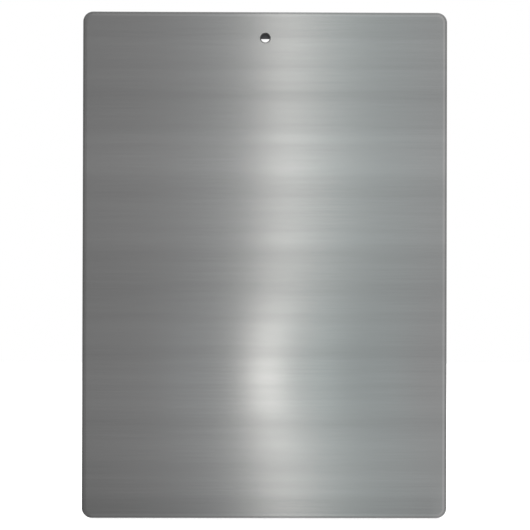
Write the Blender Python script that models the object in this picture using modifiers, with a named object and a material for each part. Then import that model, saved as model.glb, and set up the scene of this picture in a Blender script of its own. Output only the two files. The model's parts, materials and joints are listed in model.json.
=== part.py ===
"""Clipboard: a laminated metal-faced board with a low-profile spring clip.

Metres, +Z up. The origin is the centre of the hanging hole, in the plane of the board's back face. +Z runs up
the board and +Y is the outward normal of the back face, so the writing face and the clip look along -Y.

Two plain coordinates place everything on the front of the board: "drop" is the distance below the board's top
edge, and "height" is the distance out from the writing face.
"""
import math

import bmesh
import bpy
from mathutils import Matrix, Vector

# The board: 9 x 12.5 inches, 3.2 mm thick.
BOARD_WIDTH = 0.2286
BOARD_LENGTH = 0.3175
CORNER_RADIUS = 0.00635
BACK_SHEET = 0.0008
CORE_SHEET = 0.0016
FRONT_SHEET = 0.0006
GLUE_LINE = 0.0001
BOARD_THICKNESS = BACK_SHEET + CORE_SHEET + FRONT_SHEET + 2 * GLUE_LINE

# The band round each metal sheet's edge: a shallow bevel, then a small round-over.
BAND_WIDTH = 0.0022
BACK_BAND_DEPTH = 0.00025
FRONT_BAND_DEPTH = 0.0001
BACK_ROUND = 0.0004
FRONT_ROUND = 0.0003

# The hanging hole, countersunk on the back.
HOLE_DROP = 0.0163
HOLE_RADIUS = 0.00275
COUNTERSINK_RADIUS = 0.0033

# The clip's sheet metal and its hinge.
SHEET = 0.0010
PLATE_GAP = 0.0001
HINGE_DROP = 0.0260
HINGE_HEIGHT = 0.0050
PIN_RADIUS = 0.0015
EAR_HOLE_RADIUS = 0.0016
CHEEK_HOLE_RADIUS = 0.00165

# The base plate.
PLATE_HALF_WIDTH = 0.0397
PLATE_TOP_DROP = 0.0050
PLATE_END_DROP = 0.0330
WINDOW_HALF_WIDTH = 0.0100
WINDOW_TOP_DROP = 0.01665
WINDOW_END_DROP = 0.0232
EAR_RADIUS = 0.0033
EAR_FOOT_FLARE = 0.0004
EAR_SETBACK = 0.0001
PLATE_CORNER = 0.0050
PLATE_FRONT_CORNER = 0.0020
WINDOW_TOP_CORNER = 0.0006
WINDOW_CORNER = 0.0020
STOP_OFFSET = 0.0220
STOP_WIDTH = 0.0090
STOP_HEIGHT = 0.0027

# The lever: its mid-surface is a rolled lip, a straight jaw, a bend over the hinge and a rising thumb tab.
BEND_RADIUS = 0.0045
LIP_DROP = 0.0386
LIP_HEIGHT = 0.0031
LIP_RADIUS = 0.0013
LIP_CURL_END = math.radians(-170)
TAB_RISE = math.radians(6)
FLARE_RISE = math.radians(18)
FLARE_DROP = 0.0118
KNEE_RADIUS = 0.0100
TAB_TIP_DROP = 0.0070
TAB_HALF_WIDTH = 0.0170
SHOULDER_DROP = 0.0175
CHEEK_GAP = 0.0005
LEVER_HALF_WIDTH = PLATE_HALF_WIDTH + CHEEK_GAP + SHEET
CHEEK_RADIUS = 0.0034
SHOULDER_CORNER = 0.0030
TAB_CORNER = 0.0060
TAB_ROOT_FILLET = 0.0040
JAW_SPREAD_DROP = 0.0285
JAW_FULL_DROP = 0.0325
JAW_FILLET = 0.0030
CHEEK_START_DROP = 0.0210
CHEEK_END_DROP = 0.0335
JAW_HALF_WIDTH = 0.0500
TAB_HOLE_DROP = 0.0168
TAB_HOLE_RADIUS = 0.0045

# The rubber tips on the jaw's corners.
GRIP_FIT = 0.00015
GRIP_WALL = 0.00085
GRIP_INNER_X = 0.0400
GRIP_LENGTH_UP_JAW = 0.0048
GRIP_SLOT_RUN_OUT = 0.0100

# The pin, its push nut, the spacer tube and the springs.
PIN_HEAD_RADIUS = 0.0026
PIN_HEAD = 0.0010
PIN_TIP_CHAMFER = 0.0004
PIN_END_X = 0.0432
PIN_CLEARANCE = 0.0004
NUT_RADIUS = 0.0032
NUT_BORE_RADIUS = 0.0016
NUT_WIDTH = 0.0006
NUT_DISH = 0.0003
TUBE_HALF_LENGTH = 0.0248
TUBE_RADIUS = 0.0026
TUBE_BORE_RADIUS = 0.00175
WIRE_RADIUS = 0.0006
COIL_RADIUS = 0.0025
COIL_FULL_TURNS = 7
COIL_TURN_POINTS = 12
COIL_PITCH = 0.0015
COIL_START_X = 0.0260
SPRING_LOW_LEG_DROP = 0.0185
SPRING_HIGH_LEG_DROP = 0.0195
LEG_GAP = 0.0003

# The rivets, which clamp the plate, the front sheet and the floor of a pocket in the core.
RIVET_X = 0.0300
RIVET_DROP = 0.0115
RIVET_RADIUS = 0.00175
RIVET_HOLE_RADIUS = 0.00205
RIVET_HEAD_RADIUS = 0.0045
RIVET_HEAD_RISE = 0.0012
RIVET_HEAD_EDGE = 0.0003
RIVET_HEAD_GAP = 0.00015
RIVET_BORE_RADIUS = 0.0010
RIVET_BORE = 0.0009
RIVET_TAIL_RADIUS = 0.0029
RIVET_TAIL = 0.00035
RIVET_TAIL_ROUND = 0.0001
POCKET_FLOOR = 0.0005
POCKET_RADIUS = 0.0052
WASHER = 0.0004
WASHER_RADIUS = 0.0046
WASHER_BORE_RADIUS = 0.00195
WASHER_GAP = 0.0001

HOLE_STEPS = 32
ROUND_STEPS = 24
CORNER_STEPS = 8
WELD = 1e-6
SMOOTH_ANGLE = math.radians(35)
OVERCUT = 0.0020
PRISM_DEPTH = 0.0200

HINGE = (HINGE_DROP, HINGE_HEIGHT)
LIP = (LIP_DROP, LIP_HEIGHT)
SIDES = (("left", -1), ("right", 1))

# (drop, height) in a vertical section, and (x, -drop) in a plan, to world space.
SECTION_FRAME = Matrix(((0, 0, -1, 0), (0, -1, 0, -BOARD_THICKNESS), (-1, 0, 0, HOLE_DROP), (0, 0, 0, 1)))
PLAN_FRAME = Matrix(((1, 0, 0, 0), (0, 0, -1, -BOARD_THICKNESS), (0, 1, 0, HOLE_DROP), (0, 0, 0, 1)))


# --- Materials --------------------------------------------------------------------------------------------

def make_material(name, colour, roughness, metallic):
    material = bpy.data.materials.new(name)
    material.use_nodes = True
    shader = material.node_tree.nodes["Principled BSDF"]
    shader.inputs["Base Color"].default_value = (*colour, 1)
    shader.inputs["Roughness"].default_value = roughness
    shader.inputs["Metallic"].default_value = metallic
    material.diffuse_color = (*colour, 1)
    return material


def make_materials():
    return {
        "brushed_face": make_material("brushed_face", (0.26, 0.27, 0.27), 0.35, 0.9),
        "core_plastic": make_material("core_plastic", (0.03, 0.03, 0.032), 0.6, 0.0),
        "plated_steel": make_material("plated_steel", (0.62, 0.62, 0.61), 0.2, 1.0),
        "spring_steel": make_material("spring_steel", (0.30, 0.30, 0.31), 0.3, 1.0),
        "rivet_metal": make_material("rivet_metal", (0.55, 0.55, 0.54), 0.25, 1.0),
        "grip_rubber": make_material("grip_rubber", (0.015, 0.015, 0.016), 0.75, 0.0),
    }


# --- Outlines ---------------------------------------------------------------------------------------------

def arc(centre, radius, start, end, steps):
    """Points on a circle from one angle to another, both ends included."""
    angles = [start + (end - start) * i / steps for i in range(steps + 1)]
    return [(centre[0] + radius * math.cos(a), centre[1] + radius * math.sin(a)) for a in angles]


def circle(centre, radius, steps=ROUND_STEPS):
    return arc(centre, radius, 0, math.tau, steps)[:-1]


def rounded(corners, steps=CORNER_STEPS):
    """A closed outline from (x, y, radius) corners, each rounded with an arc tangent to its two sides."""
    points = []
    for i, (x, y, radius) in enumerate(corners):
        corner = Vector((x, y))
        before = (Vector(corners[i - 1][:2]) - corner).normalized()
        after = (Vector(corners[(i + 1) % len(corners)][:2]) - corner).normalized()
        half = before.angle(after) / 2
        centre = corner + (before + after).normalized() * radius / math.sin(half)
        reach = radius / math.tan(half)
        first = corner + before * reach - centre
        last = corner + after * reach - centre
        start = math.atan2(first.y, first.x)
        turn = math.remainder(math.atan2(last.y, last.x) - start, math.tau)
        points += arc(centre, radius, start, start + turn, steps)
    return points


def mirrored(corners):
    """Corners of a right half, listed from top to bottom, completed with the left half."""
    return corners + [(-x, y, radius) for x, y, radius in reversed(corners)]


def plan(points):
    """(x, drop) or (x, drop, radius) entries turned into plan coordinates."""
    return [(x, -drop, *rest) for x, drop, *rest in points]


def offset_path(path, distance):
    """An open path moved to its left by a distance, mitred at its points."""
    points = [Vector(p) for p in path]
    moved = []
    for i, point in enumerate(points):
        steps = [points[j + 1] - points[j] for j in (i - 1, i) if 0 <= j < len(points) - 1]
        normals = [Vector((-step.y, step.x)).normalized() for step in steps]
        middle = sum(normals, Vector((0, 0))).normalized()
        moved.append(tuple(point + middle * distance / middle.dot(normals[0])))
    return moved


def sheet_outline(path, thickness):
    """The closed section of a bent sheet, from its mid-line."""
    return offset_path(path, thickness / 2) + offset_path(path, -thickness / 2)[::-1]


def tapered_capsule(a, a_radius, b, b_radius, steps=16):
    """The outline round two circles."""
    along = Vector(b) - Vector(a)
    heading = math.atan2(along.y, along.x)
    lean = math.acos((a_radius - b_radius) / along.length)
    far = arc(b, b_radius, heading - lean, heading + lean, steps)
    near = arc(a, a_radius, heading + lean, heading + math.tau - lean, steps)
    return far + near


def jaw_slope():
    """How steeply the jaw falls: the tangent that touches the bend over the hinge and the rolled lip."""
    across = LIP_DROP - HINGE_DROP
    down = HINGE_HEIGHT - LIP_HEIGHT
    return math.atan2(down, across) + math.asin((BEND_RADIUS - LIP_RADIUS) / math.hypot(across, down))


def tab_height(drop):
    """The height of the thumb tab's mid-line, before its flared end."""
    start = (HINGE_DROP + BEND_RADIUS * math.sin(TAB_RISE), HINGE_HEIGHT + BEND_RADIUS * math.cos(TAB_RISE))
    return start[1] + (start[0] - drop) * math.tan(TAB_RISE)


def jaw_height(drop):
    """The height of the jaw's mid-line, between the bend and the lip."""
    slope = jaw_slope()
    start = (HINGE_DROP + BEND_RADIUS * math.sin(slope), HINGE_HEIGHT + BEND_RADIUS * math.cos(slope))
    return start[1] - (drop - start[0]) * math.tan(slope)


def lever_midline():
    """From the rolled lip's inner end, up the jaw and over the hinge, to beyond the thumb tab's tip."""
    jaw_normal = math.pi / 2 - jaw_slope()
    lip = arc(LIP, LIP_RADIUS, LIP_CURL_END, jaw_normal, 14)
    bend = arc(HINGE, BEND_RADIUS, jaw_normal, math.pi / 2 - TAB_RISE, 4)
    knee_centre = (
        FLARE_DROP - KNEE_RADIUS * math.sin(TAB_RISE),
        tab_height(FLARE_DROP) + KNEE_RADIUS * math.cos(TAB_RISE),
    )
    knee = arc(knee_centre, KNEE_RADIUS, -math.pi / 2 - TAB_RISE, -math.pi / 2 - FLARE_RISE, 3)
    end_drop = TAB_TIP_DROP - OVERCUT
    tip = (end_drop, knee[-1][1] + (knee[-1][0] - end_drop) * math.tan(FLARE_RISE))
    return lip + bend + knee + [tip]


# --- Solids -----------------------------------------------------------------------------------------------

def link(name, mesh, matrix, home):
    piece = bpy.data.objects.new(name, mesh)
    piece.matrix_world = matrix
    home.objects.link(piece)
    return piece


def extruded(name, loops, thickness, matrix, home):
    """A flat outline, with any holes as further loops, given a thickness centred on its plane."""
    curve = bpy.data.curves.new(name, "CURVE")
    curve.dimensions = "2D"
    curve.fill_mode = "BOTH"
    curve.extrude = thickness / 2
    for loop in loops:
        spline = curve.splines.new("POLY")
        spline.points.add(len(loop) - 1)
        spline.use_cyclic_u = True
        for point, (x, y) in zip(spline.points, loop):
            point.co = (x, y, 0, 1)
    return as_mesh(name, curve, matrix, home)


def as_mesh(name, curve, matrix, home):
    """A curve's solid, as a mesh object whose caps are welded on."""
    guide = link(name + "_guide", curve, matrix, home)
    bpy.context.view_layer.update()
    graph = bpy.context.evaluated_depsgraph_get()
    mesh = bpy.data.meshes.new_from_object(guide.evaluated_get(graph))
    bpy.data.objects.remove(guide)
    bpy.data.curves.remove(curve)
    shape = bmesh.new()
    shape.from_mesh(mesh)
    bmesh.ops.remove_doubles(shape, verts=shape.verts, dist=WELD)
    bmesh.ops.recalc_face_normals(shape, faces=shape.faces)
    shape.to_mesh(mesh)
    shape.free()
    return link(name, mesh, matrix, home)


def turned(name, profile, matrix, home, closed=False, steps=ROUND_STEPS):
    """A round piece: (radius, z) points, from the top down its outer side, spun about local Z."""
    mesh = bpy.data.meshes.new(name)
    verts = [(radius, 0, z) for radius, z in profile]
    edges = [(i, i + 1) for i in range(len(verts) - 1)]
    if closed:
        edges.append((len(verts) - 1, 0))
    mesh.from_pydata(verts, edges, [])
    piece = link(name, mesh, matrix, home)
    screw = piece.modifiers.new("Spin", "SCREW")
    screw.steps = steps
    screw.render_steps = steps
    screw.use_merge_vertices = True
    screw.merge_threshold = WELD
    return piece


def across_x(x, drop, height):
    """A frame whose local Z points along +X, at a point on the front of the board."""
    place = Vector((x, -(BOARD_THICKNESS + height), HOLE_DROP - drop))
    return Matrix.Translation(place) @ Matrix.Rotation(math.pi / 2, 4, "Y")


def out_of_front(x, drop, height):
    """A frame whose local Z points out of the writing face."""
    place = Vector((x, -(BOARD_THICKNESS + height), HOLE_DROP - drop))
    return Matrix.Translation(place) @ Matrix.Rotation(math.pi / 2, 4, "X")


def combine(piece, other, operation, cutters):
    """Adds a Boolean with another object, which becomes a hidden cutter."""
    change = piece.modifiers.new(other.name, "BOOLEAN")
    change.operation = operation
    change.object = other
    change.solver = "EXACT"
    for home in list(other.users_collection):
        home.objects.unlink(other)
    cutters.objects.link(other)
    other.hide_render = True
    other.display_type = "WIRE"


def finish(piece, material):
    """Gives a piece its material, and smooth shading where it is round."""
    piece.data.materials.clear()
    piece.data.materials.append(material)
    if piece.data.polygons:
        piece.data.shade_smooth()
        piece.data.set_sharp_from_angle(angle=SMOOTH_ANGLE)


# --- The board --------------------------------------------------------------------------------------------

def board_outline():
    half = BOARD_WIDTH / 2
    return rounded(plan([
        (half, 0, CORNER_RADIUS),
        (half, BOARD_LENGTH, CORNER_RADIUS),
        (-half, BOARD_LENGTH, CORNER_RADIUS),
        (-half, 0, CORNER_RADIUS),
    ]))


def banded_sheet(name, thickness, band_depth, edge_round, matrix, home):
    """A flat sheet whose upper side has a bevelled band and a round-over along its edge."""
    shape = bmesh.new()
    base = shape.faces.new([shape.verts.new((x, y, 0)) for x, y in board_outline()])
    wall = thickness - band_depth
    grown = bmesh.ops.extrude_face_region(shape, geom=[base], use_keep_orig=True)["geom"]
    lifted = [item for item in grown if isinstance(item, bmesh.types.BMVert)]
    bmesh.ops.translate(shape, verts=lifted, vec=(0, 0, wall))
    rim = [edge for edge in shape.edges if all(vert in lifted for vert in edge.verts)]
    bmesh.ops.bevel(shape, geom=rim, offset=edge_round, segments=3, profile=0.5, affect="EDGES")
    top = max(shape.faces, key=lambda face: face.calc_center_median().z)
    bmesh.ops.inset_region(shape, faces=[top], thickness=BAND_WIDTH, depth=0)
    bmesh.ops.translate(shape, verts=top.verts, vec=(0, 0, band_depth))
    bmesh.ops.recalc_face_normals(shape, faces=shape.faces)
    mesh = bpy.data.meshes.new(name)
    shape.to_mesh(mesh)
    shape.free()
    return link(name, mesh, matrix, home)


def hole_cutter(name, radius, x, drop, home):
    """A straight hole right through the board."""
    reach = BOARD_THICKNESS + OVERCUT
    profile = [(0, reach), (radius, reach), (radius, -reach), (0, -reach)]
    return turned(name, profile, out_of_front(x, drop, -BOARD_THICKNESS / 2), home, steps=HOLE_STEPS)


def countersink_cutter(home):
    """The back sheet's hole: a countersink that narrows to the drilled size."""
    depth = COUNTERSINK_RADIUS - HOLE_RADIUS
    mouth = COUNTERSINK_RADIUS + OVERCUT
    profile = [
        (0, OVERCUT), (HOLE_RADIUS, OVERCUT), (HOLE_RADIUS, depth - BOARD_THICKNESS),
        (mouth, -BOARD_THICKNESS - OVERCUT), (0, -BOARD_THICKNESS - OVERCUT),
    ]
    return turned("countersink", profile, out_of_front(0, HOLE_DROP, 0), home, steps=HOLE_STEPS)


def pocket_cutter(name, x, home):
    """A round pocket in the core's back, for a rivet's washer and tail."""
    floor = -(FRONT_SHEET + GLUE_LINE + POCKET_FLOOR)
    profile = [(0, floor), (POCKET_RADIUS, floor), (POCKET_RADIUS, -BOARD_THICKNESS), (0, -BOARD_THICKNESS)]
    return turned(name, profile, out_of_front(x, RIVET_DROP, 0), home)


def make_back_panel(parts, cutters, material):
    matrix = Matrix.Translation((0, -BACK_SHEET, HOLE_DROP)) @ Matrix.Rotation(math.pi, 4, "Z") @ \
        Matrix.Rotation(math.pi / 2, 4, "X")
    panel = banded_sheet("back_panel", BACK_SHEET, BACK_BAND_DEPTH, BACK_ROUND, matrix, parts)
    combine(panel, countersink_cutter(cutters), "DIFFERENCE", cutters)
    finish(panel, material)


def make_core_board(parts, cutters, material):
    middle = -(FRONT_SHEET + GLUE_LINE + CORE_SHEET / 2)
    matrix = PLAN_FRAME @ Matrix.Translation((0, 0, middle))
    core = extruded("core_board", [board_outline()], CORE_SHEET, matrix, parts)
    combine(core, hole_cutter("core_hole", HOLE_RADIUS, 0, HOLE_DROP, cutters), "DIFFERENCE", cutters)
    for side, sign in SIDES:
        x = sign * RIVET_X
        shank = hole_cutter("core_rivet_hole_" + side, RIVET_HOLE_RADIUS, x, RIVET_DROP, cutters)
        combine(core, shank, "DIFFERENCE", cutters)
        combine(core, pocket_cutter("rivet_pocket_" + side, x, cutters), "DIFFERENCE", cutters)
    finish(core, material)


def make_front_panel(parts, cutters, material):
    matrix = PLAN_FRAME @ Matrix.Translation((0, 0, -FRONT_SHEET))
    panel = banded_sheet("front_panel", FRONT_SHEET, FRONT_BAND_DEPTH, FRONT_ROUND, matrix, parts)
    combine(panel, hole_cutter("front_hole", HOLE_RADIUS, 0, HOLE_DROP, cutters), "DIFFERENCE", cutters)
    for side, sign in SIDES:
        x = sign * RIVET_X
        shank = hole_cutter("front_rivet_hole_" + side, RIVET_HOLE_RADIUS, x, RIVET_DROP, cutters)
        combine(panel, shank, "DIFFERENCE", cutters)
    finish(panel, material)


# --- The clip's fixed pieces ------------------------------------------------------------------------------

def section_at(x):
    """The section frame, moved along X."""
    return Matrix.Translation((x, 0, 0)) @ SECTION_FRAME


def ear_outline():
    """An upright ear of the base plate: straight sides and a round head about the pin."""
    foot = PLATE_GAP + SHEET / 2
    half = EAR_RADIUS + EAR_FOOT_FLARE
    head = arc(HINGE, EAR_RADIUS, 0, math.pi, ROUND_STEPS // 2)
    return [(HINGE_DROP + half, foot), *head, (HINGE_DROP - half, foot)]


def make_base_plate(parts, cutters, material):
    outline = rounded(mirrored(plan([
        (PLATE_HALF_WIDTH, PLATE_TOP_DROP, PLATE_CORNER),
        (PLATE_HALF_WIDTH, PLATE_END_DROP, PLATE_FRONT_CORNER),
    ])))
    window = rounded(mirrored(plan([
        (WINDOW_HALF_WIDTH, WINDOW_TOP_DROP, WINDOW_TOP_CORNER),
        (WINDOW_HALF_WIDTH, WINDOW_END_DROP, WINDOW_CORNER),
    ])), CORNER_STEPS // 2)
    holes = [circle((sign * RIVET_X, -RIVET_DROP), RIVET_HOLE_RADIUS) for _, sign in SIDES]
    matrix = PLAN_FRAME @ Matrix.Translation((0, 0, PLATE_GAP + SHEET / 2))
    plate = extruded("clip_base_plate", [outline, window, *holes], SHEET, matrix, parts)
    ear_loops = [ear_outline(), circle(HINGE, EAR_HOLE_RADIUS)]
    ear_x = PLATE_HALF_WIDTH - EAR_SETBACK - SHEET / 2
    foot = PLATE_GAP + SHEET / 2
    back = PLATE_END_DROP - SHEET
    stop = [(back, foot), (PLATE_END_DROP, foot), (PLATE_END_DROP, STOP_HEIGHT), (back, STOP_HEIGHT)]
    for side, sign in SIDES:
        ear = extruded("ear_" + side, ear_loops, SHEET, section_at(sign * ear_x), cutters)
        combine(plate, ear, "UNION", cutters)
        lug = extruded("paper_stop_" + side, [stop], STOP_WIDTH, section_at(sign * STOP_OFFSET), cutters)
        combine(plate, lug, "UNION", cutters)
    finish(plate, material)


def make_rivet(side, sign, parts, material):
    """A domed head, a shank, a bore in its end and a tail rolled out over the washer."""
    head_foot = PLATE_GAP + SHEET + RIVET_HEAD_GAP
    tail_top = -(FRONT_SHEET + GLUE_LINE + POCKET_FLOOR + WASHER + 2 * WASHER_GAP)
    tail_end = tail_top - RIVET_TAIL
    dome_rise = RIVET_HEAD_RISE - RIVET_HEAD_EDGE
    quarter = arc((0, 0), 1, math.pi / 2, 0, 6)
    dome = [(RIVET_HEAD_RADIUS * r, head_foot + RIVET_HEAD_EDGE + dome_rise * z) for r, z in quarter]
    dome[0] = (0, dome[0][1])
    profile = dome + [
        (RIVET_HEAD_RADIUS, head_foot),
        (RIVET_RADIUS, head_foot),
        (RIVET_RADIUS, tail_top),
        (RIVET_TAIL_RADIUS, tail_top),
        (RIVET_TAIL_RADIUS, tail_end + RIVET_TAIL_ROUND),
        (RIVET_TAIL_RADIUS - RIVET_TAIL_ROUND, tail_end),
        (RIVET_BORE_RADIUS, tail_end),
        (RIVET_BORE_RADIUS, tail_end + RIVET_BORE),
        (0, tail_end + RIVET_BORE),
    ]
    rivet = turned("rivet_" + side, profile, out_of_front(sign * RIVET_X, RIVET_DROP, 0), parts)
    finish(rivet, material)


def make_rivet_washer(side, sign, parts, material):
    top = -(FRONT_SHEET + GLUE_LINE + POCKET_FLOOR + WASHER_GAP)
    profile = [
        (WASHER_BORE_RADIUS, top), (WASHER_RADIUS, top), (WASHER_RADIUS, top - WASHER),
        (WASHER_BORE_RADIUS, top - WASHER),
    ]
    matrix = out_of_front(sign * RIVET_X, RIVET_DROP, 0)
    washer = turned("rivet_washer_" + side, profile, matrix, parts, closed=True)
    finish(washer, material)


def make_hinge_pin(parts, material):
    """A headed pin. Its head is outside the left cheek and its rounded end stands out of the right one."""
    head_inner = -(LEVER_HALF_WIDTH + PIN_CLEARANCE)
    head_outer = head_inner - PIN_HEAD
    profile = [
        (0, PIN_END_X),
        (PIN_RADIUS - PIN_TIP_CHAMFER, PIN_END_X),
        (PIN_RADIUS, PIN_END_X - PIN_TIP_CHAMFER),
        (PIN_RADIUS, head_inner),
        (PIN_HEAD_RADIUS, head_inner),
        (PIN_HEAD_RADIUS, head_outer + PIN_TIP_CHAMFER),
        (PIN_HEAD_RADIUS - PIN_TIP_CHAMFER, head_outer),
        (0, head_outer),
    ]
    pin = turned("hinge_pin", profile, across_x(0, *HINGE), parts)
    finish(pin, material)


def make_push_nut(parts, material):
    """A dished retaining ring on the pin's free end."""
    inner = LEVER_HALF_WIDTH + PIN_CLEARANCE
    outer = inner + NUT_WIDTH
    profile = [
        (NUT_BORE_RADIUS, outer + NUT_DISH),
        (NUT_RADIUS - NUT_DISH, outer + NUT_DISH),
        (NUT_RADIUS, outer),
        (NUT_RADIUS, inner),
        (NUT_BORE_RADIUS, inner + NUT_DISH),
    ]
    nut = turned("pin_push_nut", profile, across_x(0, *HINGE), parts, closed=True)
    finish(nut, material)


def make_spacer_tube(parts, material):
    profile = [
        (TUBE_BORE_RADIUS, TUBE_HALF_LENGTH), (TUBE_RADIUS, TUBE_HALF_LENGTH),
        (TUBE_RADIUS, -TUBE_HALF_LENGTH), (TUBE_BORE_RADIUS, -TUBE_HALF_LENGTH),
    ]
    tube = turned("pin_spacer_tube", profile, across_x(0, *HINGE), parts, closed=True)
    finish(tube, material)


# --- Springs ----------------------------------------------------------------------------------------------

def leg_angle(drop, height, turn):
    """The coil angle at which a leg to this tip is tangent: turn is 1 for the low leg, -1 for the high one."""
    away = Vector((drop - HINGE_DROP, height - HINGE_HEIGHT))
    facing = math.atan2(away.y, away.x)
    return facing + turn * math.acos(COIL_RADIUS / away.length)


def spring_path():
    """(offset along the coil, drop, height) points: a low leg, the coil and a high leg."""
    low_height = PLATE_GAP + SHEET + LEG_GAP + WIRE_RADIUS
    high_height = tab_height(SPRING_HIGH_LEG_DROP) - SHEET / 2 - LEG_GAP - WIRE_RADIUS
    start = leg_angle(SPRING_LOW_LEG_DROP, low_height, 1)
    end = leg_angle(SPRING_HIGH_LEG_DROP, high_height, -1)
    total = end - start + math.tau * COIL_FULL_TURNS
    steps = round(total / math.tau * COIL_TURN_POINTS)
    length = COIL_PITCH * total / math.tau
    circles = arc(HINGE, COIL_RADIUS, start, start + total, steps)
    coil = [(length * i / steps, *point) for i, point in enumerate(circles)]
    low = (0, SPRING_LOW_LEG_DROP, low_height)
    high = (coil[-1][0], SPRING_HIGH_LEG_DROP, high_height)
    return [low, *coil, high]


def make_spring(side, sign, parts, material):
    curve = bpy.data.curves.new("torsion_spring_" + side, "CURVE")
    curve.dimensions = "3D"
    curve.bevel_depth = WIRE_RADIUS
    curve.bevel_resolution = 2
    curve.use_fill_caps = True
    path = spring_path()
    spline = curve.splines.new("POLY")
    spline.points.add(len(path) - 1)
    for point, (along, drop, height) in zip(spline.points, path):
        x = sign * (COIL_START_X + along)
        point.co = (x, -(BOARD_THICKNESS + height), HOLE_DROP - drop, 1)
    spring = as_mesh("torsion_spring_" + side, curve, Matrix.Identity(4), parts)
    finish(spring, material)


# --- The clip's moving pieces -----------------------------------------------------------------------------

def cheek_outline():
    """A side cheek of the lever: a round foot about the pin, widening up to the lever's mid-line."""
    middle = [p for p in lever_midline() if CHEEK_START_DROP < p[0] < CHEEK_END_DROP and p[1] > HINGE_HEIGHT]
    foot = arc(HINGE, CHEEK_RADIUS, math.pi, math.tau, ROUND_STEPS // 2)
    front = (CHEEK_END_DROP, jaw_height(CHEEK_END_DROP))
    back = (CHEEK_START_DROP, tab_height(CHEEK_START_DROP))
    return foot + [front, *middle, back]


def make_lever(parts, cutters, material):
    """A bent sheet trimmed to the lever's plan, with two cheeks and the holes for the pin and a wall hook."""
    trim = rounded(mirrored(plan([
        (TAB_HALF_WIDTH, TAB_TIP_DROP, TAB_CORNER),
        (TAB_HALF_WIDTH, SHOULDER_DROP, TAB_ROOT_FILLET),
        (LEVER_HALF_WIDTH, SHOULDER_DROP, SHOULDER_CORNER),
        (LEVER_HALF_WIDTH, JAW_SPREAD_DROP, JAW_FILLET),
        (JAW_HALF_WIDTH, JAW_FULL_DROP, JAW_FILLET),
        (JAW_HALF_WIDTH, LIP_DROP + 2 * LIP_RADIUS + OVERCUT, OVERCUT / 2),
    ])), CORNER_STEPS)
    width = 2 * JAW_HALF_WIDTH + 2 * OVERCUT
    sheet = sheet_outline(lever_midline(), SHEET)
    lever = extruded("clip_lever", [sheet], width, section_at(0), parts)
    middle = PLAN_FRAME @ Matrix.Translation((0, 0, PRISM_DEPTH / 2 - OVERCUT))
    prism = extruded("lever_plan", [trim], PRISM_DEPTH, middle, cutters)
    combine(lever, prism, "INTERSECT", cutters)
    loops = [cheek_outline(), circle(HINGE, CHEEK_HOLE_RADIUS)]
    cheek_x = LEVER_HALF_WIDTH - SHEET / 2
    for side, sign in SIDES:
        cheek = extruded("cheek_" + side, loops, SHEET, section_at(sign * cheek_x), cutters)
        combine(lever, cheek, "UNION", cutters)
    far, near = PRISM_DEPTH, HINGE_HEIGHT
    profile = [(0, far), (TAB_HOLE_RADIUS, far), (TAB_HOLE_RADIUS, near), (0, near)]
    hook_hole = turned("tab_hole", profile, out_of_front(0, TAB_HOLE_DROP, 0), cutters, steps=HOLE_STEPS)
    combine(lever, hook_hole, "DIFFERENCE", cutters)
    finish(lever, material)
    return lever


def make_jaw_grip(side, sign, parts, cutters, material):
    """A rubber sleeve, closed at its outer end, over a corner of the jaw."""
    slope = jaw_slope()
    up = Vector((-math.cos(slope), math.sin(slope)))
    out = Vector((math.sin(slope), math.cos(slope)))
    on_jaw = Vector(LIP) + out * LIP_RADIUS
    end = on_jaw + up * GRIP_LENGTH_UP_JAW
    beyond = end + up * GRIP_SLOT_RUN_OUT
    skin = GRIP_FIT + GRIP_WALL
    outer_x = JAW_HALF_WIDTH + skin
    outer = tapered_capsule(LIP, LIP_RADIUS + SHEET / 2 + skin, end, SHEET / 2 + skin)
    inner = tapered_capsule(LIP, LIP_RADIUS + SHEET / 2 + GRIP_FIT, beyond, SHEET / 2 + GRIP_FIT)
    width = outer_x - GRIP_INNER_X
    place = section_at(sign * (outer_x + GRIP_INNER_X) / 2)
    grip = extruded("jaw_grip_" + side, [outer], width, place, parts)
    slot_end = JAW_HALF_WIDTH + GRIP_FIT
    slot_start = GRIP_INNER_X - OVERCUT
    middle = section_at(sign * (slot_end + slot_start) / 2)
    slot = extruded("grip_slot_" + side, [inner], slot_end - slot_start, middle, cutters)
    combine(grip, slot, "DIFFERENCE", cutters)
    finish(grip, material)
    return grip


def hang_on_pivot(pieces, parts):
    """The moving pieces hang on an empty whose origin is on the hinge's axis."""
    pivot = bpy.data.objects.new("lever_pivot", None)
    pivot.location = (0, -(BOARD_THICKNESS + HINGE_HEIGHT), HOLE_DROP - HINGE_DROP)
    parts.objects.link(pivot)
    bpy.context.view_layer.update()
    for piece in pieces:
        piece.parent = pivot
        piece.matrix_parent_inverse = pivot.matrix_world.inverted()


def clear_scene():
    for old in list(bpy.data.objects):
        bpy.data.objects.remove(old)


def new_collection(name):
    home = bpy.data.collections.new(name)
    bpy.context.scene.collection.children.link(home)
    return home


def main():
    clear_scene()
    parts = new_collection("clipboard")
    cutters = new_collection("cutters")
    materials = make_materials()
    steel = materials["plated_steel"]
    make_back_panel(parts, cutters, materials["brushed_face"])
    make_core_board(parts, cutters, materials["core_plastic"])
    make_front_panel(parts, cutters, materials["brushed_face"])
    make_base_plate(parts, cutters, steel)
    make_hinge_pin(parts, steel)
    make_push_nut(parts, materials["spring_steel"])
    make_spacer_tube(parts, steel)
    moving = [make_lever(parts, cutters, steel)]
    for side, sign in SIDES:
        make_rivet(side, sign, parts, materials["rivet_metal"])
        make_rivet_washer(side, sign, parts, materials["rivet_metal"])
        make_spring(side, sign, parts, materials["spring_steel"])
        moving.append(make_jaw_grip(side, sign, parts, cutters, materials["grip_rubber"]))
    hang_on_pivot(moving, parts)


main()
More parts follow.
